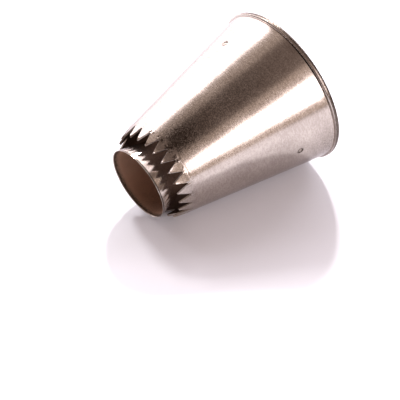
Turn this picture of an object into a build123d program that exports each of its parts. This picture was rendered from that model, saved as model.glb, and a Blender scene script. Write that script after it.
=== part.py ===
from build123d import *
import os
from math import atan, cos, degrees, pi, radians, sin, tan

# Sultane piping nozzle: a toothed outer cone with a hollow centre cone held on three legs.
# Millimetres. z = 0 is the plane of the wide rim, and +Z runs along the axis to the outlet.

# ---- Sheet ----
sheet = 0.5                    # stainless sheet of both cones

# ---- Outer cone ----
rim_radius = 22.5              # over the rolled hem, the widest part of the nozzle
wall_base_radius = 22.2        # outside of the wall, carried down to z = 0
root_radius = 13.5             # outside of the wall at the roots of the teeth
root_z = 43.5
tip_radius = 12.5              # the teeth are bent a little further inward than the wall
tip_z = 46.9
tooth_count = 24
tip_land = 0.25                # width left flat at each tooth's tip
first_notch_azimuth = 266.25   # degrees, one of the notches between the teeth
hem_height = 1.5               # from the rim to the hem's free edge
hem_step = 0.18                # how far that edge stands proud of the wall
hem_crown_z = hem_height / 2   # height of the hem's widest line
hem_flat_radius = 22.1         # outer edge of the flat ring that the nozzle stands on

# ---- Centre cone ----
mouth_radius = 10.25
mouth_z = 50.7                 # overall height: the centre cone stands out past the teeth
cone_angle = 14.0              # half-angle, narrowing towards the bag
nose_radius = 1.2              # outside of its closed, rounded nose

# ---- Legs: bent strips, one foot on each cone ----
leg_azimuths = {"rear_leg": 90.0, "left_leg": 210.0, "right_leg": 330.0}
leg_thickness = 0.6
leg_outer_width = 4.0
leg_inner_width = 2.2
leg_plan_start = 0.5           # radius where the strip's tapering plan has its inner width
leg_foot_z = 9.5               # lower end of the foot on the outer cone
leg_arm_z = 16.0               # middle of the arm that crosses the channel
leg_top_z = 22.0               # upper end of the foot on the centre cone
leg_bend_radius = 1.2          # at the middle of the strip's thickness

# ---- Spot welds ----
dimple = 0.12                  # depth of the electrode's mark
shell_weld_radius = 0.9
shell_weld_z = 11.8
shell_weld_bite = 0.4          # how far the nugget reaches into the leg
cone_weld_radius = 0.7
cone_weld_z = 19.8
cone_weld_bite = 0.35          # how far the nugget reaches into the centre cone

# ---- Derived ----
wall_slope = (wall_base_radius - root_radius) / root_z
wall_angle = degrees(atan(wall_slope))
cone_slope = tan(radians(cone_angle))
wall_inset = sheet / cos(radians(wall_angle))     # sheet thickness measured along a radius
cone_inset = sheet / cos(radians(cone_angle))
pitch_angle = 360 / tooth_count

# ---- Cutting tools ----
cut_margin = 1.0               # how far a cutting tool runs past the surface it cuts
seat = (Align.CENTER, Align.CENTER, Align.MIN)    # a weld's cylinder grows from its inner end


def wall_radius(z):
    """Outside radius of the outer cone's wall at height z."""
    return wall_base_radius - wall_slope * z


def cone_radius(z):
    """Outside radius of the centre cone at height z."""
    return mouth_radius - cone_slope * (mouth_z - z)


def spun(outline):
    """The full turn of a closed outline drawn as (radius, height)."""
    return revolve(Plane.XZ * make_face(outline), Axis.Z)


def turned(shape, azimuth):
    """A shape made on the +X side, carried round the axis to its azimuth."""
    return Rot(Z=azimuth) * shape


def notch():
    """The V between two teeth, as a wedge through the wall with its edge at the root. It starts
    well inside the wall and ends well outside it, so the slant of the teeth does not matter."""
    tip_pitch = 2 * pi * tip_radius / tooth_count
    flare = (tip_pitch - tip_land) / 2 / (tip_z - root_z)
    over_z = tip_z + cut_margin
    half_width = flare * (over_z - root_z)
    vee = Polyline((0, root_z), (half_width, over_z), (-half_width, over_z), close=True)
    start = tip_radius / 2
    return Pos(X=start) * extrude(Plane.YZ * make_face(vee), root_radius)


def outer_cone():
    """The shell: hemmed at the wide rim, toothed at the outlet."""
    hem_edge_radius = wall_radius(hem_height) + hem_step
    sides = Polyline(
        (hem_flat_radius, 0),
        (wall_base_radius - wall_inset, 0),
        (root_radius - wall_inset, root_z),
        (tip_radius - wall_inset, tip_z),
        (tip_radius, tip_z),
        (root_radius, root_z),
        (wall_radius(hem_height), hem_height),
        (hem_edge_radius, hem_height),
    )
    hem = ThreePointArc(
        (hem_edge_radius, hem_height),
        (rim_radius, hem_crown_z),
        (hem_flat_radius, 0),
    )
    shell = spun(sides + hem)
    wedge = notch()
    for i in range(tooth_count):
        shell -= turned(wedge, first_notch_azimuth + i * pitch_angle)
    return shell


def centre_cone():
    """The inner cone: open at the outlet, closed by a round nose on the bag's side."""
    apex_z = mouth_z - mouth_radius / cone_slope
    nose_z = apex_z + nose_radius / sin(radians(cone_angle))
    inner_radius = nose_radius - sheet

    def on_nose(radius, angle):
        """A point of the nose, at an angle up from straight down."""
        return (radius * sin(angle), nose_z - radius * cos(angle))

    flank_angle = pi / 2 - radians(cone_angle)
    outer_flank = on_nose(nose_radius, flank_angle)
    inner_flank = on_nose(inner_radius, flank_angle)
    outline = Polyline(
        outer_flank,
        (mouth_radius, mouth_z),
        (mouth_radius - cone_inset, mouth_z),
        inner_flank,
    )
    outline += ThreePointArc(
        inner_flank, on_nose(inner_radius, flank_angle / 2), on_nose(inner_radius, 0)
    )
    outline += Line(on_nose(inner_radius, 0), on_nose(nose_radius, 0))
    outline += ThreePointArc(
        on_nose(nose_radius, 0), on_nose(nose_radius, flank_angle / 2), outer_flank
    )
    return spun(outline)


def leg():
    """One bent strip: down the shell's wall, across the channel, up the centre cone."""
    half = leg_thickness / 2
    wall_gap = wall_inset + half / cos(radians(wall_angle))
    cone_gap = half / cos(radians(cone_angle))
    path = FilletPolyline(
        (wall_radius(leg_foot_z) - wall_gap, leg_foot_z),
        (wall_radius(leg_arm_z) - wall_gap, leg_arm_z),
        (cone_radius(leg_arm_z) + cone_gap, leg_arm_z),
        (cone_radius(leg_top_z) + cone_gap, leg_top_z),
        radius=leg_bend_radius,
    )
    bent = revolve(Plane.XZ * trace(path, leg_thickness), Axis.Z)
    plan = Polyline(
        (leg_plan_start, leg_inner_width / 2),
        (wall_base_radius, leg_outer_width / 2),
        (wall_base_radius, -leg_outer_width / 2),
        (leg_plan_start, -leg_inner_width / 2),
        close=True,
    )
    return bent & extrude(make_face(plan), leg_top_z + cut_margin)


def shell_weld():
    """Nugget through the shell's wall into the leg, sunk a little below the wall, and the round
    opening that it fills."""
    tilt = 90 - wall_angle
    place = Pos(X=wall_radius(shell_weld_z), Z=shell_weld_z) * Rot(Y=tilt)
    depth = sheet + shell_weld_bite
    seated = place * Pos(Z=-depth)
    nugget = seated * Cylinder(shell_weld_radius, depth - dimple, align=seat)
    opening = seated * Cylinder(shell_weld_radius, depth + cut_margin, align=seat)
    return nugget, opening


def cone_weld():
    """Nugget through the leg's inner foot into the centre cone, and the round opening that it
    fills."""
    tilt = 90 + cone_angle
    place = Pos(X=cone_radius(cone_weld_z), Z=cone_weld_z) * Rot(Y=tilt)
    length = leg_thickness - dimple + cone_weld_bite
    seated = place * Pos(Z=-cone_weld_bite)
    nugget = seated * Cylinder(cone_weld_radius, length, align=seat)
    opening = seated * Cylinder(cone_weld_radius, length + cut_margin, align=seat)
    return nugget, opening


shell_nugget, shell_opening = shell_weld()
cone_nugget, cone_opening = cone_weld()
strip = leg() - shell_opening - cone_opening

nodes = {"outer_cone": outer_cone(), "centre_cone": centre_cone()}
for name, azimuth in leg_azimuths.items():
    nodes["outer_cone"] -= turned(shell_opening, azimuth)
    nodes["centre_cone"] -= turned(cone_opening, azimuth)
    nodes[name] = turned(strip, azimuth)
nodes["shell_welds"] = Compound([turned(shell_nugget, a) for a in leg_azimuths.values()])
nodes["cone_welds"] = Compound([turned(cone_nugget, a) for a in leg_azimuths.values()])

os.makedirs("parts", exist_ok=True)
for name, shape in nodes.items():
    export_step(shape, f"parts/{name}.step")
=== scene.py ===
import random
from math import atan, atan2, ceil, cos, degrees, exp, floor, hypot, log, pi, radians, sin, sqrt, tan

import bmesh
import bpy
from mathutils import Matrix, Vector, noise


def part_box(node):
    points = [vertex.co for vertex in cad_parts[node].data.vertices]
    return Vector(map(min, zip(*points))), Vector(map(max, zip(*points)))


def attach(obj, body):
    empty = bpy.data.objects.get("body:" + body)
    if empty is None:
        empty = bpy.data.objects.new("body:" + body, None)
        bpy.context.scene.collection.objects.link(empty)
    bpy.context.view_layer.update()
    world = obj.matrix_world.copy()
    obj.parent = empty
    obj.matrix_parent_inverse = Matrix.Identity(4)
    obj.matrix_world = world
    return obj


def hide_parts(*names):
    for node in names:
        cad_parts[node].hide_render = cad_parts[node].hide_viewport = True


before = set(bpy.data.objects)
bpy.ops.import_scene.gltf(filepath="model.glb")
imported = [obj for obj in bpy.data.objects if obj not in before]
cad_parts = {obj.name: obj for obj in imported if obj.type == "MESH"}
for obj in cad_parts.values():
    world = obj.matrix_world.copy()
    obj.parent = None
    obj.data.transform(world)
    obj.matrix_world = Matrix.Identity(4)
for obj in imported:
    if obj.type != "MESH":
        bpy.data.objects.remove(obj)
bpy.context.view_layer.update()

# A sultane piping nozzle: a toothed outer cone and a hollow centre cone on three legs.
# Metres. The nozzle stands on its wide rim at z = 0, and +Z runs along its axis to the outlet.

MM = 0.001

# ---- Sizes read from the frame ----
_, shell_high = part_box("outer_cone")
_, cone_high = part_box("centre_cone")
weld_low, weld_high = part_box("shell_welds")
foot_low, foot_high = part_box("cone_welds")

RIM_RADIUS = shell_high.x
TIP_Z = shell_high.z
MOUTH_RADIUS = cone_high.x
MOUTH_Z = cone_high.z
SHELL_WELD_Z = (weld_low.z + weld_high.z) / 2
CONE_WELD_Z = (foot_low.z + foot_high.z) / 2

# ---- Sizes that the boxes don't give ----
SHEET = 0.5 * MM
WALL_BASE = 22.2 * MM            # outside of the wall carried down to z = 0
ROOT_RADIUS = 13.5 * MM          # outside of the wall at the roots of the teeth
ROOT_Z = 43.5 * MM
TIP_RADIUS = 12.5 * MM
TOOTH_COUNT = 24
TIP_LAND = 0.22 * MM
FIRST_NOTCH = radians(266.25)
HEM_HEIGHT = 1.5 * MM
CONE_LEAN = radians(14)
NOSE_RADIUS = 1.2 * MM
LEG_AZIMUTHS = {"rear_leg": 90, "left_leg": 210, "right_leg": 330}
LEG_THICKNESS = 0.6 * MM
LEG_OUTER_WIDTH = 4.0 * MM
LEG_INNER_WIDTH = 2.2 * MM
LEG_FOOT_Z = 9.5 * MM
LEG_ARM_Z = 16.0 * MM
LEG_TOP_Z = 22.0 * MM
LEG_BEND = 1.2 * MM              # radius of its bends, at the middle of the strip
SHELL_NUGGET = (0.44 * MM, 0.30 * MM, 0.06 * MM)     # radius, depth and crown
CONE_NUGGET = (0.60 * MM, 0.30 * MM, 0.08 * MM)

WALL_SLOPE = (WALL_BASE - ROOT_RADIUS) / ROOT_Z
WALL_LEAN = atan(WALL_SLOPE)
CONE_SLOPE = tan(CONE_LEAN)
WALL_INSET = SHEET / cos(WALL_LEAN)
CONE_INSET = SHEET / cos(CONE_LEAN)
PITCH = 2 * pi / TOOTH_COUNT
SHADE_PATCH_AZIMUTH = radians(284)     # where the wall is painted darker towards the teeth: painted shade
SHADE_PATCH_WIDTH = radians(20)

# ---- How finely the meshes are divided ----
PRESS_SPAN = 2.4 * MM            # the wall below the roots, drawn in fine rows
WELD_SPAN = 1.4 * MM             # the wall above and below a weld mark, drawn in fine rows
MARKED_COLUMNS = 48              # for a tooth's pitch of wall with a weld mark in or by it
PLAIN_COLUMNS = 16
CONE_COLUMNS = 160
NUGGET_COLUMNS = 28
HEM_STEPS = 17
NOSE_STEPS = 8
LIP_STEPS = 6
HOLLOW_STEPS = 6
BEND_STEPS = 8
WIDTH_STEPS = 8
SHARP_ANGLE = radians(40)        # an edge that turns more than this is shaded as sharp


# ---------------------------------------------------------------- camera and stage

CAMERA_RISE = radians(22.07)     # above the horizontal, looking along +Y
CAMERA_TURN = radians(0.12)
CAMERA_ROLL = radians(-125.06)
CAMERA_PLACE = Vector((-13.64, -485.14, 235.67)) * MM
CAMERA_LENS = 180                # millimetres, like the sensor's width
CAMERA_SENSOR = 36

TABLE_RISE = radians(36)         # the camera's angle above the table that the nozzle lies on
TABLE_GAP = 0.15 * MM            # under the lowest of the circles that the nozzle lies on
TABLE_COLOUR = (0.75, 0.755, 0.805, 1)
ROOM_COLOUR = (0.255, 0.188, 0.160, 1)
BEAD_Z = HEM_HEIGHT / 2

# Name, azimuth and rise in degrees, width, height, distance, radiance, colour, shape
LIGHTS = (
    ("key", 4, 39.8, 0.075, 0.075, 1.2, 720, (1.0, 0.985, 0.975), "RECTANGLE"),
    ("second", -30, 43, 0.18, 0.18, 1.2, 72, (1.0, 0.98, 0.98), "RECTANGLE"),
    ("backdrop", -7, 27.6, 1.30, 0.95, 0.6, 2.5, (0.985, 0.94, 1.0), "RECTANGLE"),
    ("side", 60, 44, 0.34, 0.40, 0.6, 1.6, (1.0, 0.95, 1.0), "RECTANGLE"),
    ("fill", 127, 19.5, 0.47, 0.40, 0.6, 4.4, (1.0, 0.94, 0.98), "ELLIPSE"),
    ("glow", 130, 22, 0.86, 0.80, 0.64, 0.54, (1.0, 0.82, 0.70), "ELLIPSE"),
    ("halo", -48, 64, 0.90, 0.44, 0.64, 0.40, (1.0, 0.84, 0.74), "ELLIPSE"),
)


def camera_axes():
    """The camera's right, up and forward directions."""
    level = Vector((cos(CAMERA_TURN), -sin(CAMERA_TURN), 0))
    ahead = Vector((sin(CAMERA_TURN), cos(CAMERA_TURN), 0))
    forward = cos(CAMERA_RISE) * ahead - sin(CAMERA_RISE) * Vector((0, 0, 1))
    upright = level.cross(forward)
    right = cos(CAMERA_ROLL) * level + sin(CAMERA_ROLL) * upright
    return right, right.cross(forward), forward


def stage_axes():
    """Right, away from the camera, and up, on the table that the nozzle lies on."""
    right, up, forward = camera_axes()
    table_up = cos(TABLE_RISE) * up - sin(TABLE_RISE) * forward
    return right, table_up.cross(right), table_up


def add_camera():
    """The scene's camera."""
    right, up, forward = camera_axes()
    data = bpy.data.cameras.new("camera")
    data.lens = CAMERA_LENS
    data.sensor_width = CAMERA_SENSOR
    data.clip_start = 0.01
    data.clip_end = 20
    camera = bpy.data.objects.new("camera", data)
    bpy.context.scene.collection.objects.link(camera)
    turn = Matrix((right, up, -forward)).transposed().to_4x4()
    camera.matrix_world = Matrix.Translation(CAMERA_PLACE) @ turn
    bpy.context.scene.camera = camera


def softbox(name, azimuth, rise, width, height, distance, radiance, colour, shape):
    """An area light in a direction on the stage: azimuth from straight away, to the right."""
    right, away, up = stage_axes()
    level = cos(azimuth) * away + sin(azimuth) * right
    direction = cos(rise) * level + sin(rise) * up
    data = bpy.data.lights.new(name, "AREA")
    data.shape = shape
    data.size = width
    data.size_y = height
    area = width * height * (pi / 4 if shape == "ELLIPSE" else 1)
    data.energy = radiance * pi * area
    data.color = colour
    light = bpy.data.objects.new(name, data)
    bpy.context.scene.collection.objects.link(light)
    side = direction.cross(up).normalized()
    top = side.cross(direction)
    turn = Matrix((side, -top, direction)).transposed().to_4x4()
    aim = Vector((0, 0, TIP_Z / 2))
    light.matrix_world = Matrix.Translation(aim + distance * direction) @ turn
    light.visible_camera = False
    return light


def add_lights():
    """Two small lights that cast the shadow, and five large ones that the steel mirrors."""
    for name, azimuth, rise, *rest in LIGHTS:
        softbox(name, radians(azimuth), radians(rise), *rest)


def add_world():
    """A dim room that the steel mirrors, with a white background behind the nozzle."""
    world = bpy.data.worlds.new("studio")
    bpy.context.scene.world = world
    world.use_nodes = True
    nodes, links = world.node_tree.nodes, world.node_tree.links
    nodes.clear()
    path = nodes.new("ShaderNodeLightPath")
    room = nodes.new("ShaderNodeBackground")
    room.inputs["Color"].default_value = ROOM_COLOUR
    backdrop = nodes.new("ShaderNodeBackground")
    backdrop.inputs["Color"].default_value = (1, 1, 1, 1)
    mix = nodes.new("ShaderNodeMixShader")
    out = nodes.new("ShaderNodeOutputWorld")
    links.new(path.outputs["Is Camera Ray"], mix.inputs[0])
    links.new(room.outputs[0], mix.inputs[1])
    links.new(backdrop.outputs[0], mix.inputs[2])
    links.new(mix.outputs[0], out.inputs[0])


def add_floor():
    """The table, touching the nozzle's side. It is seen from above only: from below it is clear."""
    right, away, up = stage_axes()
    across = sqrt(1 - up.z ** 2)
    circles = ((BEAD_Z, RIM_RADIUS), (ROOT_Z, ROOT_RADIUS), (TIP_Z, TIP_RADIUS))
    level = min(up.z * z - across * radius for z, radius in circles) - TABLE_GAP
    back, front, left, side, corner = 0.22, 0.12, 0.22, 0.13, 0.08
    corner_steps = 12
    points = []
    for quarter, (sx, sy) in enumerate(((1, 1), (-1, 1), (-1, -1), (1, -1))):
        for step in range(corner_steps + 1):
            angle = quarter * pi / 2 + step * pi / (2 * corner_steps)
            x = sx * ((side if sx > 0 else left) - corner) + corner * cos(angle)
            y = sy * ((back if sy > 0 else front) - corner) + corner * sin(angle)
            points.append(up * level + right * x + away * y)
    mesh = bpy.data.meshes.new("table")
    mesh.from_pydata(points, [], [list(range(len(points)))])
    mesh.update()
    if mesh.polygons[0].normal.dot(up) < 0:
        mesh.flip_normals()
    floor = bpy.data.objects.new("table", mesh)
    bpy.context.scene.collection.objects.link(floor)
    floor.data.materials.append(table_material())


def table_material():
    """White on the table's upper face, and clear on its lower one."""
    material = bpy.data.materials.new("table_white")
    material.use_nodes = True
    nodes, links = material.node_tree.nodes, material.node_tree.links
    nodes.clear()
    geometry = nodes.new("ShaderNodeNewGeometry")
    white = nodes.new("ShaderNodeBsdfDiffuse")
    white.inputs["Color"].default_value = TABLE_COLOUR
    clear = nodes.new("ShaderNodeBsdfTransparent")
    mix = nodes.new("ShaderNodeMixShader")
    out = nodes.new("ShaderNodeOutputMaterial")
    links.new(geometry.outputs["Backfacing"], mix.inputs[0])
    links.new(white.outputs[0], mix.inputs[1])
    links.new(clear.outputs[0], mix.inputs[2])
    links.new(mix.outputs[0], out.inputs["Surface"])
    return material


# ---------------------------------------------------------------- meshes

def smoothstep(low, high, value):
    """0 below low, 1 above high, and a smooth curve between."""
    t = min(1.0, max(0.0, (value - low) / (high - low)))
    return t * t * (3 - 2 * t)


def turned(x, y, z, azimuth):
    """A point carried round the axis."""
    c, s = cos(azimuth), sin(azimuth)
    return (x * c - y * s, x * s + y * c, z)


def make_piece(name, points, faces, values, material, node):
    """A piece of the body from its points and faces. values holds a number per point for each
    named attribute, such as wear."""
    mesh = bpy.data.meshes.new(name)
    mesh.from_pydata(points, [], faces)
    work = bmesh.new()
    work.from_mesh(mesh)
    bmesh.ops.recalc_face_normals(work, faces=work.faces)
    work.to_mesh(mesh)
    work.free()
    for key, numbers in values.items():
        attribute = mesh.attributes.new(key, "FLOAT", "POINT")
        attribute.data.foreach_set("value", numbers)
    mesh.polygons.foreach_set("use_smooth", [True] * len(mesh.polygons))
    mesh.set_sharp_from_angle(angle=SHARP_ANGLE)
    mesh.materials.append(material)
    piece = bpy.data.objects.new(name, mesh)
    bpy.context.scene.collection.objects.link(piece)
    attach(piece, "root")
    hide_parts(node)
    return piece


def wall_radius(z):
    """Outside radius of the outer cone's wall at height z."""
    return WALL_BASE - WALL_SLOPE * z


def cone_radius(z):
    """Outside radius of the centre cone at height z."""
    return MOUTH_RADIUS - CONE_SLOPE * (MOUTH_Z - z)


class Tooth:
    """How one tooth was left by the press: a little more or less bent, a little twisted."""

    def __init__(self, dice):
        self.bend = radians(dice.uniform(-3.0, 3.6))
        self.twist = dice.uniform(-0.13, 0.13) * MM
        self.lean = dice.uniform(-0.12, 0.12) * MM


def shell_columns():
    """Azimuths round the shell, sector by sector from notch to notch. The sectors with a weld
    mark have the most."""
    columns, starts = [], []
    for i in range(TOOTH_COUNT):
        start = FIRST_NOTCH + i * PITCH
        marks = [(radians(a) - start) % (2 * pi) for a in LEG_AZIMUTHS.values()]
        count = MARKED_COLUMNS if min(marks) < PITCH else PLAIN_COLUMNS
        starts.append(len(columns))
        columns += [start + k * PITCH / count for k in range(count)]
    return columns, starts


def weld_dimple(azimuth, z):
    """Depth of the electrode's marks at a place on the wall, with the lip they raise."""
    depth = 0.0
    reach = 0.12
    for mark in LEG_AZIMUTHS.values():
        turn = (azimuth - radians(mark) + pi) % (2 * pi) - pi
        if abs(turn) > reach:
            continue
        from_mark = hypot(wall_radius(z) * turn, (z - SHELL_WELD_Z) / cos(WALL_LEAN)) / MM
        depth += 0.13 * (1 - smoothstep(0.48, 0.74, from_mark))
        depth -= 0.02 * exp(-((from_mark - 0.84) / 0.12) ** 2)
    return depth * MM


def hand_wave(azimuth, z):
    """The slow unevenness of spun sheet."""
    wave = 0.014 * sin(3 * azimuth + 0.6) + 0.008 * sin(5 * azimuth + 2.1 + 90 * z)
    wave += 0.005 * sin(11 * azimuth + 260 * z) + 0.006 * sin(430 * z + 2 * azimuth)
    return wave * MM


def bent_radius(azimuth, z):
    """Outside of the wall, with the teeth's ring bent inward and flattened between the notches.
    Each flat crosses the round wall a little way out from its middle."""
    bend_z = ROOT_Z - 0.5 * MM
    soft = 0.25 * MM
    past = soft * log(1 + exp((z - bend_z) / soft)) if z > bend_z - 8 * soft else 0.0
    full = TIP_Z - bend_z
    radius = wall_radius(z) - past / full * (wall_radius(TIP_Z) - TIP_RADIUS)
    off = (azimuth - FIRST_NOTCH) % PITCH - PITCH / 2
    crossing = radians(4.3)
    flat = radius * cos(crossing) / cos(off)
    share = smoothstep(ROOT_Z - 1.1 * MM, ROOT_Z + 0.5 * MM, z)
    return radius + share * (flat - radius)


def press_mark(azimuth, z):
    """What the punch leaves under each notch: a crease, a faint ring and small dents and burrs."""
    turn = (azimuth - FIRST_NOTCH + PITCH / 2) / PITCH
    off = abs(turn % 1 - 0.5) * degrees(PITCH)
    force = 0.6 + 0.8 * abs(sin(7.3 * floor(turn % TOOTH_COUNT) + 1.7))
    below = (ROOT_Z - z) / MM
    crease = 0.10 * force * exp(-(off / 1.0) ** 2) * exp(-max(0.0, below) / 0.6)
    burr = 0.045 * force * exp(-((off - 2.2) / 0.8) ** 2) * exp(-((below - 0.1) / 0.5) ** 2)
    ring = 0.012 * exp(-((below - 1.0) / 0.2) ** 2)
    place = Vector(turned(wall_radius(z), 0, z, azimuth)) / (0.55 * MM)
    share = 1 - smoothstep(1.1, 2.1, below)
    dents = 0.045 * share * max(0.0, noise.noise(place) - 0.05)
    return (crease - burr + ring + dents) * MM


def near(azimuth, centre, width):
    """1 where an angle is at the centre, falling away over a width. It also serves for a small
    number that isn't an angle, since only whole turns are taken out."""
    turn = (azimuth - centre + pi) % (2 * pi) - pi
    return exp(-(turn / width) ** 2)


def shell_stain_and_shade(azimuth, z):
    """Darker places on the outside: round the weld marks, specks at the roots of the teeth with
    painted shade in each notch's crease, and two patches of painted shade, one on the wall towards
    the teeth and one near the rim."""
    dark = 0.0
    for mark in LEG_AZIMUTHS.values():
        turn = (azimuth - radians(mark) + pi) % (2 * pi) - pi
        from_mark = hypot(wall_radius(z) * turn, z - SHELL_WELD_Z) / MM
        dark = max(dark, 0.97 * exp(-((from_mark - 0.66) / 0.25) ** 2))
    # Painted shade: one patch of the wall darkened, more towards the teeth
    side = near(azimuth, SHADE_PATCH_AZIMUTH, SHADE_PATCH_WIDTH)
    deep = 0.22 + 0.28 * smoothstep(4 * MM, 22 * MM, z) + 0.42 * smoothstep(28 * MM, 41 * MM, z)
    shade_patch = side * deep * (1 - 0.7 * smoothstep(ROOT_Z - 2.2 * MM, ROOT_Z - 0.4 * MM, z))
    # Painted shade: the wall darkened near the rim round azimuth 194 degrees
    low = 0.54 * near(azimuth, radians(194), radians(26)) * (1 - smoothstep(3 * MM, 12 * MM, z))
    off = abs((azimuth - FIRST_NOTCH + PITCH / 2) / PITCH % 1 - 0.5)
    root = exp(-((z - ROOT_Z + 0.4 * MM) / (1.2 * MM)) ** 2) * (1 - smoothstep(0.2, 0.5, off))
    place = Vector(turned(wall_radius(z), 0, z, azimuth)) / (0.42 * MM)
    # Dark specks at the notch roots, with painted shade along the crease under each notch
    root_specks_and_shade = root * smoothstep(-0.10, 0.02, noise.noise(place)) * (0.2 + 1.4 * side)
    root_specks_and_shade = max(root_specks_and_shade, 0.75 * near(off, 0.0, 0.13) * root * (0.3 + side))
    return min(1.0, max(dark, shade_patch, low, root_specks_and_shade))


def shell_radius(azimuth, z):
    """Outside of the shell with all its relief."""
    near_top = z > ROOT_Z - 5 * MM
    marks = press_mark(azimuth, z) if near_top else 0.0
    return bent_radius(azimuth, z) + hand_wave(azimuth, z) - marks - weld_dimple(azimuth, z)


def spaced(low, high, step):
    """Heights from low to high, ends included, about a step apart."""
    rounding = 1e-9
    count = max(1, ceil((high - low) / step - rounding))
    return [low + (high - low) * i / count for i in range(count + 1)]


def hem_outline():
    """(radius, height, groove, angle) from the wall, over the groove behind the rolled hem, the
    bead and the flat to the inside. groove says how far the row is in the groove, and angle is
    the way the bead faces, from a right angle at its top to the opposite below."""
    edge, top = wall_radius(HEM_HEIGHT), pi / 2
    points = [(edge - 0.01 * MM, HEM_HEIGHT + 0.14 * MM, 0.3, top),
              (edge - 0.08 * MM, HEM_HEIGHT + 0.06 * MM, 1.0, top),
              (edge - 0.12 * MM, HEM_HEIGHT - 0.06 * MM, 1.0, top)]
    bulge, half, soft = 0.60 * MM, (HEM_HEIGHT - 0.10 * MM) / 2, 0.85
    first, sweep = 74, 164
    for i in range(HEM_STEPS + 1):
        angle = radians(first - i * sweep / HEM_STEPS)
        out = abs(cos(angle)) ** soft
        rise = abs(sin(angle)) ** soft * (1 if angle > 0 else -1)
        groove = 0.9 * smoothstep(radians(48), radians(70), angle)
        points.append((RIM_RADIUS - bulge + bulge * out, half + half * rise, groove, angle))
    inner = WALL_BASE - WALL_INSET
    points += [(inner + 0.10 * MM, 0, 0, top), (inner + 0.02 * MM, 0.03 * MM, 0, top)]
    return points + [(inner - 0.02 * MM, 0.12 * MM, 0, top)]


def hem_painted_shade(azimuth, groove, angle):
    """How dark a place of the hem is painted. Painted shade fills the groove on one side only, and
    painted shade on the bead's lower half reaches over its crown on the side by the table."""
    groove_shade = groove * near(azimuth, radians(266), radians(28))
    reach = radians(9) + radians(34) * near(azimuth, radians(208), radians(40))
    reach += radians(16) * near(azimuth, radians(325), radians(30))
    bead_underside_shade = 1 - smoothstep(reach - radians(12), reach + radians(12), angle)
    return max(groove_shade, 0.92 * bead_underside_shade)


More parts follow.
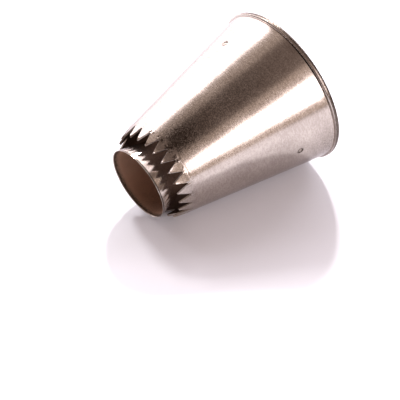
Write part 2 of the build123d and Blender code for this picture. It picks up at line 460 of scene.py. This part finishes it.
def shell_piece(material):
    """The outer cone as one closed surface: wall, hem, inside and teeth."""
    dice = random.Random(24)
    columns, starts = shell_columns()
    count = len(columns)
    points, wear, inside, stain_and_shade = [], [], [], []

    def add(x, y, z, worn, within):
        points.append((x, y, z))
        wear.append(worn)
        inside.append(within)
        stain_and_shade.append(0.0 if within else shell_stain_and_shade(atan2(y, x), z))
        return len(points) - 1

    def ring(radius_at, z, worn, within):
        """A row of points round the shell. radius_at gives the radius for an azimuth."""
        row = []
        for azimuth in columns:
            r = radius_at(azimuth)
            row.append(add(r * cos(azimuth), r * sin(azimuth), z, worn, within))
        return row

    heights = spaced(ROOT_Z - PRESS_SPAN, ROOT_Z, 0.15 * MM)[::-1]
    heights += spaced(SHELL_WELD_Z + WELD_SPAN, ROOT_Z - PRESS_SPAN, 1.5 * MM)[-2::-1]
    heights += spaced(SHELL_WELD_Z - WELD_SPAN, SHELL_WELD_Z + WELD_SPAN, 0.12 * MM)[-2::-1]
    heights += spaced(HEM_HEIGHT + 0.3 * MM, SHELL_WELD_Z - WELD_SPAN, 1.4 * MM)[-2::-1]
    rows = []
    for z in heights:
        worn = 0.25 * smoothstep(ROOT_Z - 1.2 * MM, ROOT_Z, z)
        rows.append(ring(lambda azimuth, z=z: shell_radius(azimuth, z), z, worn, 0.0))
    for r, z, groove, angle in hem_outline():
        rows.append(ring(lambda azimuth, r=r: r, z, 0.5 * (1 - groove), 0.0))
        stain_and_shade[-count:] = [hem_painted_shade(azimuth, groove, angle) for azimuth in columns]
    inner_heights = spaced(0.7 * MM, ROOT_Z - 2.0 * MM, 2.6 * MM)
    inner_heights += spaced(ROOT_Z - 1.6 * MM, ROOT_Z, 0.4 * MM)
    for z in inner_heights:
        def inner_radius(azimuth, z=z):
            return bent_radius(azimuth, z) + hand_wave(azimuth, z) - WALL_INSET
        rows.append(ring(inner_radius, z, 0.0, 1.0))
    faces = []
    for upper, lower in zip(rows, rows[1:]):
        for k in range(count):
            n = (k + 1) % count
            faces.append((upper[k], upper[n], lower[n], lower[k]))
    outer_root, inner_root = rows[0], rows[-1]

    # The line down each notch, between the outer and the inner surface
    soft = 0.045 * MM
    notch_lines = []
    for start in starts:
        azimuth = columns[start]
        outer = shell_radius(azimuth, ROOT_Z)
        line = []
        for depth in (soft, WALL_INSET - soft):
            r = outer - depth
            line.append(add(r * cos(azimuth), r * sin(azimuth), ROOT_Z, 1.0, 0.5))
        notch_lines.append(line)

    tip_pitch = 2 * pi * TIP_RADIUS / TOOTH_COUNT
    flare = (tip_pitch - TIP_LAND) / 2 / (TIP_Z - ROOT_Z)
    tip_round = TIP_LAND / 2
    round_z = TIP_Z - tip_round
    flank_shares = (0.05, 0.12, 0.22, 0.36, 0.52, 0.68, 0.82, 0.93, 1.0)
    tooth_heights = [ROOT_Z + t * (round_z - ROOT_Z) for t in flank_shares]
    tooth_heights += [round_z + tip_round * sin(radians(a)) for a in (30, 55, 78)]

    def half_width(z):
        if z <= round_z:
            return TIP_LAND / 2 + flare * (round_z - z)
        return sqrt(max(0.0, tip_round ** 2 - (z - round_z) ** 2))

    for i, start in enumerate(starts):
        end = starts[i + 1] if i + 1 < TOOTH_COUNT else count
        tooth = Tooth(dice)
        middle = columns[start] + PITCH / 2
        shares = [(columns[k] - columns[start]) / PITCH for k in range(start, end)] + [1.0]
        ring_ids = [k % count for k in range(start, end + 1)]
        right = notch_lines[(i + 1) % TOOTH_COUNT]
        left = notch_lines[i]
        loop = [outer_root[k] for k in ring_ids] + right
        loop += [inner_root[k] for k in reversed(ring_ids)] + left[::-1]
        for z in tooth_heights:
            up = (z - ROOT_Z) / (TIP_Z - ROOT_Z)
            base = bent_radius(middle, z)
            half = min(half_width(z), base * sin(PITCH / 2))
            edge = min(soft, half * 0.4)
            new = []

            def place(share, depth, pull, worn, within):
                across = (2 * share - 1) * (half - pull) + tooth.lean * up
                radius = base - depth
                radius -= (z - ROOT_Z) * tan(tooth.bend) - tooth.twist * up * (2 * share - 1)
                flat_x = radius + hand_wave(middle, z)
                new.append(add(*turned(flat_x, across, z, middle), worn, within))

            for share in shares:
                at_edge = share in (0.0, 1.0)
                place(share, 0.0, edge, 1.0 if at_edge else 0.35, 0.0)
            for depth in (edge, WALL_INSET - edge):
                place(1.0, depth, 0.0, 1.0, 0.5)
            for share in reversed(shares):
                place(share, WALL_INSET, edge, 0.4, 1.0)
            for depth in (WALL_INSET - edge, edge):
                place(0.0, depth, 0.0, 1.0, 0.5)
            size = len(loop)
            for k in range(size):
                n = (k + 1) % size
                faces.append((loop[k], loop[n], new[n], new[k]))
            loop = new
        width = len(shares)
        outer_tip, inner_tip = loop[:width], loop[width + 2:2 * width + 2][::-1]
        for k in range(width - 1):
            faces.append((outer_tip[k], outer_tip[k + 1], inner_tip[k + 1], inner_tip[k]))
        faces.append((outer_tip[-1], loop[width], loop[width + 1], inner_tip[-1]))
        faces.append((inner_tip[0], loop[-2], loop[-1], outer_tip[0]))
    values = {"wear": wear, "inside": inside, "stain_and_shade": stain_and_shade}
    return make_piece("outer_cone_shell", points, faces, values, material,
                      "outer_cone")


def spun(outline, columns):
    """A closed surface spun from an outline of (radius, height, wear, inside) that starts and
    ends on the axis."""
    points, wear, inside, faces, rows = [], [], [], [], []
    for r, z, worn, within in outline:
        row = []
        steps = 1 if r < 1e-7 else columns
        for k in range(steps):
            azimuth = 2 * pi * k / columns
            points.append((r * cos(azimuth), r * sin(azimuth), z))
            wear.append(worn)
            inside.append(within)
            row.append(len(points) - 1)
        rows.append(row * columns if steps == 1 else row)
    for upper, lower in zip(rows, rows[1:]):
        for k in range(columns):
            n = (k + 1) % columns
            corners = [upper[k], upper[n], lower[n], lower[k]]
            faces.append(tuple(dict.fromkeys(corners)))
    return points, faces, wear, inside


def cone_outline():
    """The centre cone's outline, from the outside of its nose over the lip to the inside."""
    apex_z = MOUTH_Z - MOUTH_RADIUS / CONE_SLOPE
    nose_z = apex_z + NOSE_RADIUS / sin(CONE_LEAN)
    flank = pi / 2 - CONE_LEAN
    outline = []
    for i in range(NOSE_STEPS + 1):
        angle = flank * i / NOSE_STEPS
        outline.append((NOSE_RADIUS * sin(angle), nose_z - NOSE_RADIUS * cos(angle), 0.2, 0.0))
    lip = 0.075 * MM
    flank_top = MOUTH_Z - lip
    line = flank_top - 0.5 * MM
    for z in spaced(outline[-1][1], line, 1.2 * MM)[1:] + spaced(line, flank_top, 0.12 * MM)[1:]:
        worn = 0.6 * smoothstep(flank_top - 0.6 * MM, flank_top, z)
        outline.append((cone_radius(z), z, worn, 0.0))
    middle = cone_radius(MOUTH_Z) - lip
    for i in range(LIP_STEPS + 1):
        angle = pi * i / LIP_STEPS
        outline.append((middle + lip * cos(angle), flank_top + lip * sin(angle), 0.9, 0.0))
    for share in (0.2, 0.5, 0.8):
        depth = 2 * lip + share * (CONE_INSET - 2 * lip)
        z = flank_top - share * 1.2 * MM
        outline.append((cone_radius(z) - depth, z, 0.0, 1.0))
    inner = NOSE_RADIUS - SHEET
    for z in spaced(nose_z - inner * sin(CONE_LEAN), flank_top - 1.4 * MM, 1.6 * MM)[::-1]:
        outline.append((cone_radius(z) - CONE_INSET, z, 0.0, 1.0))
    for i in range(HOLLOW_STEPS - 1, -1, -1):
        angle = flank * i / HOLLOW_STEPS
        outline.append((inner * sin(angle), nose_z - inner * cos(angle), 0.0, 1.0))
    return outline


def cone_piece(material):
    """The centre cone, a little out of round, with painted shade inside its lip and a dark line
    below it.
    """
    points, faces, wear, inside = spun(cone_outline(), CONE_COLUMNS)
    shaped = []
    for x, y, z in points:
        azimuth = atan2(y, x)
        wave = 0.012 * sin(2 * azimuth + 1.0) + 0.008 * sin(3 * azimuth + 150 * z)
        k = 1 + wave * MM / max(hypot(x, y), 2 * MM)
        shaped.append((x * k, y * k, z))
    cone_shade_and_line = []
    for point, within in zip(points, inside):
        # Inside: painted shade, darkest towards the lip, and a painted shade patch round azimuth 150
        # degrees. Outside: a dark line just below the lip.
        lip_shade = 0.95 * smoothstep(MOUTH_Z - 1.5 * MM, MOUTH_Z - 0.3 * MM, point[2])
        shade_patch = 0.35 * near(atan2(point[1], point[0]), radians(150), radians(50))
        below = smoothstep(MOUTH_Z - 0.60 * MM, MOUTH_Z - 0.36 * MM, point[2])
        below *= 1 - smoothstep(MOUTH_Z - 0.15 * MM, MOUTH_Z - 0.05 * MM, point[2])
        cone_shade_and_line.append(max(within * max(lip_shade, shade_patch), (1 - within) * below))
    values = {"wear": wear, "inside": inside, "stain_and_shade": cone_shade_and_line}
    return make_piece("centre_cone_body", shaped, faces, values, material,
                      "centre_cone")


def leg_path():
    """The middle of the leg's strip in its own plane: (radius, height, outward normal)."""
    half = LEG_THICKNESS / 2
    wall_gap = WALL_INSET + half / cos(WALL_LEAN)
    cone_gap = half / cos(CONE_LEAN)
    corners = [
        Vector((wall_radius(LEG_FOOT_Z) - wall_gap, LEG_FOOT_Z)),
        Vector((wall_radius(LEG_ARM_Z) - wall_gap, LEG_ARM_Z)),
        Vector((cone_radius(LEG_ARM_Z) + cone_gap, LEG_ARM_Z)),
        Vector((cone_radius(LEG_TOP_Z) + cone_gap, LEG_TOP_Z)),
    ]
    path = []

    def run(start, end, step):
        along = (end - start).normalized()
        count = max(1, ceil((end - start).length / step))
        for i in range(count + 1):
            point = start + (end - start) * i / count
            if not path or (path[-1][0] - point).length > 1e-7:
                path.append((point, Vector((along.y, -along.x))))

    at = corners[0]
    for before, corner, after in zip(corners, corners[1:], corners[2:]):
        a, b = (before - corner).normalized(), (after - corner).normalized()
        turn = pi - a.angle(b)
        reach = LEG_BEND * tan(turn / 2)
        start, end = corner + a * reach, corner + b * reach
        run(at, start, 0.5 * MM)
        centre = corner + (a + b).normalized() * LEG_BEND / cos(turn / 2)
        first, last = start - centre, end - centre
        for i in range(1, BEND_STEPS):
            blend = i / BEND_STEPS
            arm = (first * sin((1 - blend) * turn) + last * sin(blend * turn)) / sin(turn)
            along = Vector((-arm.y, arm.x)).normalized()
            if along.dot(end - start) < 0:
                along = -along
            path.append((centre + arm, Vector((along.y, -along.x))))
        at = end
    run(at, corners[-1], 0.5 * MM)
    return path


def leg_piece(name, azimuth, material):
    """A bent, tapered strip. Its feet are curved to the cones that they are welded to."""
    path = leg_path()
    lengths = [0.0]
    for (p, _), (q, _) in zip(path, path[1:]):
        lengths.append(lengths[-1] + (q - p).length)
    total = lengths[-1]
    corner = 0.75 * MM
    soft = 0.1 * MM
    half = LEG_THICKNESS / 2
    steps = [-1 + 2 * i / WIDTH_STEPS for i in range(WIDTH_STEPS + 1)]
    points, wear, inside, loops = [], [], [], []

    def add(point, across, worn):
        r, z = point
        x = sqrt(max(1e-12, r * r - across * across))
        points.append(turned(x, across, z, azimuth))
        wear.append(worn)
        inside.append(0.6)
        return len(points) - 1

    for (point, normal), length in zip(path, lengths):
        share = min(1.0, point.x / WALL_BASE)
        full = (LEG_INNER_WIDTH + (LEG_OUTER_WIDTH - LEG_INNER_WIDTH) * share) / 2
        end = min(length, total - length)
        if end < corner:
            full -= corner - sqrt(max(0.0, corner ** 2 - (corner - end) ** 2))
        loop = []
        for s in steps:
            loop.append(add(point + normal * half, s * (full - soft), 0.8 if abs(s) == 1 else 0.2))
        loop.append(add(point + normal * (half - soft), full, 1.0))
        loop.append(add(point - normal * (half - soft), full, 1.0))
        for s in reversed(steps):
            loop.append(add(point - normal * half, s * (full - soft), 0.8 if abs(s) == 1 else 0.2))
        loop.append(add(point - normal * (half - soft), -full, 1.0))
        loop.append(add(point + normal * (half - soft), -full, 1.0))
        loops.append(loop)
    faces = []
    for a, b in zip(loops, loops[1:]):
        for k in range(len(a)):
            n = (k + 1) % len(a)
            faces.append((a[k], a[n], b[n], b[k]))
    width = WIDTH_STEPS + 1
    for loop in (loops[0], loops[-1]):
        top, bottom = loop[:width], loop[width + 2:2 * width + 2][::-1]
        for k in range(WIDTH_STEPS):
            faces.append((top[k], top[k + 1], bottom[k + 1], bottom[k]))
        faces.append((top[-1], loop[width], loop[width + 1], bottom[-1]))
        faces.append((bottom[0], loop[-2], loop[-1], top[0]))
    return make_piece(name + "_strip", points, faces, {"wear": wear, "inside": inside},
                      material, name)


def nugget_outline(radius, depth, crown):
    """A weld's nugget: flat below, with a slightly domed and ringed face."""
    outline = [(0.0, -depth, 0.0, 0.0), (radius * 0.8, -depth, 0.0, 0.0)]
    outline.append((radius, -depth * 0.8, 0.0, 0.0))
    dome = ((1.0, 0.0), (0.93, 0.25), (0.8, 0.45), (0.62, 0.55), (0.45, 0.8), (0.25, 0.97))
    for share, lift in dome + ((0.0, 1.0),):
        outline.append((radius * share, lift * crown, 0.4, 0.0))
    return outline


def welds_piece(name, node, marks, radius, depth, crown, material):
    """The nuggets of one ring of welds, as one piece. marks holds (point, direction)."""
    points, faces, wear, inside = [], [], [], []
    outline = nugget_outline(radius, depth, crown)
    for point, direction in marks:
        turn = direction.to_track_quat("Z", "Y").to_matrix()
        more, sides, worn, within = spun(outline, NUGGET_COLUMNS)
        base = len(points)
        points += [tuple(point + turn @ Vector(p)) for p in more]
        faces += [tuple(base + k for k in face) for face in sides]
        wear += worn
        inside += within
    return make_piece(name, points, faces, {"wear": wear, "inside": inside}, material,
                      node)


def shell_weld_marks():
    """Where each nugget's face shows at the bottom of its dimple in the shell."""
    marks = []
    for azimuth in LEG_AZIMUTHS.values():
        out = Vector(turned(cos(WALL_LEAN), 0, sin(WALL_LEAN), radians(azimuth)))
        at = Vector(turned(wall_radius(SHELL_WELD_Z), 0, SHELL_WELD_Z, radians(azimuth)))
        marks.append((at - out * 0.125 * MM, out))
    return marks


def cone_weld_marks():
    """Where each nugget's face shows on the leg's inner foot."""
    marks = []
    for azimuth in LEG_AZIMUTHS.values():
        out = Vector(turned(cos(CONE_LEAN), 0, -sin(CONE_LEAN), radians(azimuth)))
        at = Vector(turned(cone_radius(CONE_WELD_Z), 0, CONE_WELD_Z, radians(azimuth)))
        marks.append((at + out * (LEG_THICKNESS - 0.02 * MM), out))
    return marks


# ---------------------------------------------------------------- materials

# Near-black used both for stains and for painted shade
DIRT_AND_SHADE = (0.055, 0.04, 0.03)
WORN_METAL = (0.70, 0.66, 0.62)
STEEL_TINT = (0.76, 0.73, 0.74)


class Graph:
    """A material's node tree, with short calls for the nodes used here."""

    def __init__(self, name):
        self.material = bpy.data.materials.new(name)
        self.material.use_nodes = True
        self.nodes = self.material.node_tree.nodes
        self.links = self.material.node_tree.links
        self.shader = self.nodes["Principled BSDF"]

    def feed(self, value, socket):
        """Link another node's output to a socket, or set the socket to a plain value."""
        if hasattr(value, "links"):
            self.links.new(value, socket)
        else:
            socket.default_value = value

    def math(self, operation, a, b=0.0, clamp=False):
        node = self.nodes.new("ShaderNodeMath")
        node.operation = operation
        node.use_clamp = clamp
        self.feed(a, node.inputs[0])
        self.feed(b, node.inputs[1])
        return node.outputs[0]

    def noise(self, vector, scale, detail=2.0, rough=0.5):
        node = self.nodes.new("ShaderNodeTexNoise")
        self.feed(vector, node.inputs["Vector"])
        node.inputs["Scale"].default_value = scale
        node.inputs["Detail"].default_value = detail
        node.inputs["Roughness"].default_value = rough
        return node.outputs["Fac"]

    def ramp(self, value, low, high, out_low, out_high):
        node = self.nodes.new("ShaderNodeMapRange")
        self.feed(value, node.inputs["Value"])
        limits = {"From Min": low, "From Max": high, "To Min": out_low, "To Max": out_high}
        for key, number in limits.items():
            node.inputs[key].default_value = number
        return node.outputs["Result"]

    def mix(self, share, a, b):
        node = self.nodes.new("ShaderNodeMix")
        node.data_type = "RGBA"
        self.feed(share, node.inputs["Factor"])
        self.feed(a, node.inputs["A"])
        self.feed(b, node.inputs["B"])
        return node.outputs["Result"]

    def attribute(self, name):
        node = self.nodes.new("ShaderNodeAttribute")
        node.attribute_name = name
        return node.outputs["Fac"]

    def place(self):
        return self.nodes.new("ShaderNodeTexCoord").outputs["Object"]

    def round_place(self, around, along):
        """Coordinates unrolled round the axis: angle times around, height times along."""
        split = self.nodes.new("ShaderNodeSeparateXYZ")
        self.links.new(self.place(), split.inputs[0])
        x, y, z = split.outputs
        squares = [self.math("MULTIPLY", side, side) for side in (x, y)]
        radius = self.math("SQRT", self.math("ADD", *squares))
        join = self.nodes.new("ShaderNodeCombineXYZ")
        safe = self.math("MAXIMUM", radius, 1e-5)
        self.links.new(self.math("MULTIPLY", self.math("DIVIDE", x, safe), around), join.inputs[0])
        self.links.new(self.math("MULTIPLY", self.math("DIVIDE", y, safe), around), join.inputs[1])
        self.links.new(self.math("MULTIPLY", z, along), join.inputs[2])
        return join.outputs[0]


def colour(r, g, b):
    """The form in which a colour socket takes a colour."""
    return (r, g, b, 1.0)


def steel(name, bright, dark, inner, roughness, inner_roughness, grain):
    """Semi-polished stainless sheet. bright and dark are the ends of its speckle, inner is the
    darker colour of the duller inside, painted shade, and grain is the depth of its surface."""
    g = Graph(name)
    speckle = g.noise(g.place(), 2200, 3.0, 0.7)
    dashes = g.noise(g.round_place(12, 2600), 1.0, 2.0, 0.6)
    blotch = g.noise(g.place(), 160, 2.0, 0.5)
    lengthwise = g.noise(g.round_place(34, 55), 9.0, 3.0, 0.6)
    wear = g.attribute("wear")
    within = g.attribute("inside")
    stain_and_shade = g.attribute("stain_and_shade")
    fine = g.noise(g.place(), 3300, 2.0, 0.6)
    cloud = g.math("ADD", g.math("MULTIPLY", speckle, 0.45), g.math("MULTIPLY", dashes, 0.35))
    cloud = g.math("ADD", cloud, g.math("MULTIPLY", blotch, 0.20))
    outside = g.mix(g.ramp(cloud, 0.43, 0.58, 0.0, 1.0), colour(*dark), colour(*bright))
    streaks = g.ramp(lengthwise, 0.35, 0.65, 0.0, 1.0)
    # The inside takes the inner colour: painted shade
    body = g.mix(within, outside, g.mix(streaks, colour(*inner), colour(*[c * 1.4 for c in inner])))
    edge = g.math("MULTIPLY", wear, g.ramp(speckle, 0.35, 0.6, 0.0, 0.45))
    edge = g.math("MULTIPLY", edge, g.math("SUBTRACT", 1.0, within, clamp=True))
    body = g.mix(edge, body, colour(*WORN_METAL))
    # The stain attribute darkens the colour towards near-black: stains round the weld marks together
    # with painted shade in the hem, inside the lip and on patches of the wall.
    solid = g.math("POWER", stain_and_shade, 4.0)
    mottle = g.math("MULTIPLY", g.math("SUBTRACT", 1.0, solid), g.ramp(fine, 0.40, 0.60, 1.5, 0.5))
    grime_and_shade = g.math("MULTIPLY", stain_and_shade, g.math("ADD", mottle, solid), clamp=True)
    g.links.new(g.mix(grime_and_shade, body, colour(*DIRT_AND_SHADE)), g.shader.inputs["Base Color"])
    g.shader.inputs["Metallic"].default_value = 1.0
    g.shader.inputs["Specular Tint"].default_value = colour(*STEEL_TINT)
    patchy = g.ramp(blotch, 0.3, 0.7, -0.02, 0.02)
    gritty = g.ramp(speckle, 0.38, 0.62, -0.015, 0.015)
    uneven = g.math("ADD", patchy, gritty)
    uneven = g.math("ADD", uneven, g.ramp(lengthwise, 0.3, 0.7, -0.02, 0.02))
    rough = g.math("ADD", g.ramp(within, 0.0, 1.0, roughness, inner_roughness), uneven)
    rough = g.math("ADD", rough, g.math("MULTIPLY", stain_and_shade, 0.10), clamp=True)
    g.links.new(rough, g.shader.inputs["Roughness"])
    height = g.math("ADD", g.math("MULTIPLY", speckle, 0.5), g.math("MULTIPLY", lengthwise, 0.2))
    height = g.math("ADD", height, g.math("MULTIPLY", dashes, 0.3))
    bump = g.nodes.new("ShaderNodeBump")
    bump.inputs["Strength"].default_value = 1.0
    bump.inputs["Distance"].default_value = grain
    g.links.new(height, bump.inputs["Height"])
    g.links.new(bump.outputs[0], g.shader.inputs["Normal"])
    return g.material


# ---------------------------------------------------------------- the scene

bpy.context.scene.view_settings.view_transform = "Standard"
add_camera()
add_floor()
add_lights()
add_world()

# Each inner colour is painted shade for the inside surfaces of its pieces.
shell_steel = steel("shell_steel", bright=(0.59, 0.525, 0.48), dark=(0.45, 0.393, 0.355),
                    inner=(0.085, 0.055, 0.04), roughness=0.185, inner_roughness=0.45,
                    grain=0.0005 * MM)
cone_steel = steel("cone_steel", bright=(0.60, 0.53, 0.48), dark=(0.42, 0.36, 0.32),
                   inner=(0.34, 0.212, 0.148), roughness=0.15, inner_roughness=0.70,
                   grain=0.003 * MM)
leg_steel = steel("leg_steel", bright=(0.54, 0.49, 0.45), dark=(0.40, 0.36, 0.33),
                  inner=(0.34, 0.29, 0.25), roughness=0.34, inner_roughness=0.42,
                  grain=0.010 * MM)
weld_steel = steel("weld_steel", bright=(0.40, 0.34, 0.29), dark=(0.26, 0.21, 0.17),
                   inner=(0.2, 0.16, 0.13), roughness=0.34, inner_roughness=0.45,
                   grain=0.012 * MM)

shell_piece(shell_steel)
cone_piece(cone_steel)
for leg_name, leg_azimuth in LEG_AZIMUTHS.items():
    leg_piece(leg_name, radians(leg_azimuth), leg_steel)
welds_piece("shell_weld_nuggets", "shell_welds", shell_weld_marks(), *SHELL_NUGGET, weld_steel)
welds_piece("cone_weld_nuggets", "cone_welds", cone_weld_marks(), *CONE_NUGGET, weld_steel)

node_steel = {"outer_cone": shell_steel, "centre_cone": cone_steel,
              "shell_welds": weld_steel, "cone_welds": weld_steel}
for node_name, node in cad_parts.items():
    node.data.materials.clear()
    node.data.materials.append(node_steel.get(node_name, leg_steel))
